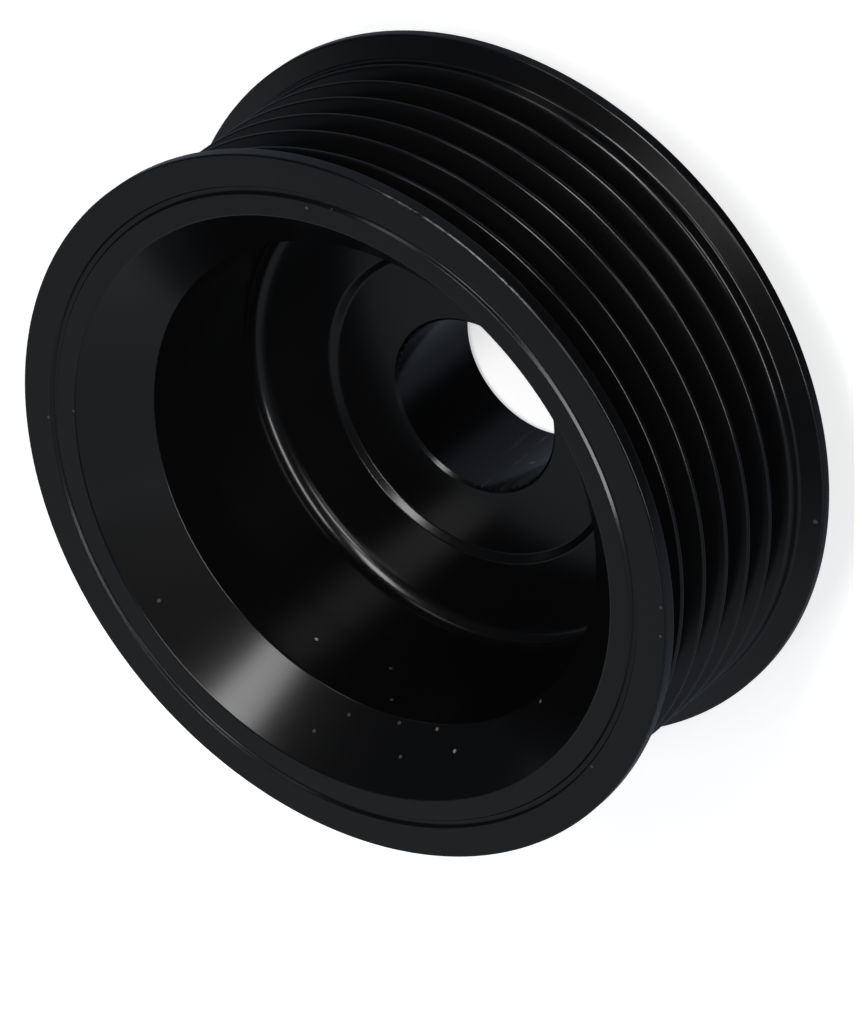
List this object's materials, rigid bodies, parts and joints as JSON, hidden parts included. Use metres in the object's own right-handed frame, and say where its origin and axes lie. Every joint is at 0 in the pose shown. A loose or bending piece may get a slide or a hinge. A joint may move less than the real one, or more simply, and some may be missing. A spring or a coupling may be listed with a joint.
{
  "type": "ribbed belt pulley",
  "caption": "Black turned steel pulley for a ribbed belt: V-grooves between two flanges, a deep front cup with a conical mouth, a sunk nut seat and a plain bore in a rear hub.",
  "frame": {"origin": "centre of the bore at the rear end of the hub, which the pulley stands on", "axes": "+Z along the pulley's axis from the rear hub to the open front cup; X and Y are any two directions across it"},
  "size_m": [0.0702, 0.0702, 0.0334],
  "materials": {
    "e_coat": "satin black electro-coat over turned steel"
  },
  "bodies": {
    "root": {"pulley": "e_coat"}
  },
  "joints": []
}
